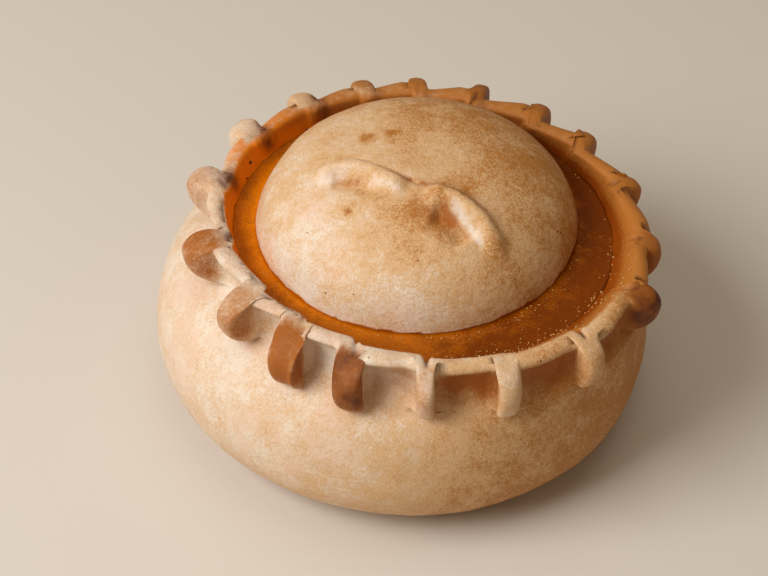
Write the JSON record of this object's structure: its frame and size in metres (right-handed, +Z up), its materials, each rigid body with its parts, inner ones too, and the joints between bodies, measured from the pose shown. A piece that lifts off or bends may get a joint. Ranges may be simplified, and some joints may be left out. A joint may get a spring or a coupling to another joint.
{
  "type": "raised savoury pie",
  "caption": "Round raised savoury pie with a bulging case, a thin crimped rim that stands in folds, and a domed lid in a moat of oily juice.",
  "frame": {"origin": "middle of the bounding box, at the height of the flat base", "axes": "+Z up through the lid, -Y towards the picture's viewer, +X to the picture's right"},
  "size_m": [0.1122, 0.11, 0.0652],
  "materials": {
    "crust": "matte baked dough, browner on the folds",
    "juice": "glossy amber cooking juice"
  },
  "bodies": {
    "root": {"crust": "crust", "juice": "juice"}
  },
  "joints": []
}
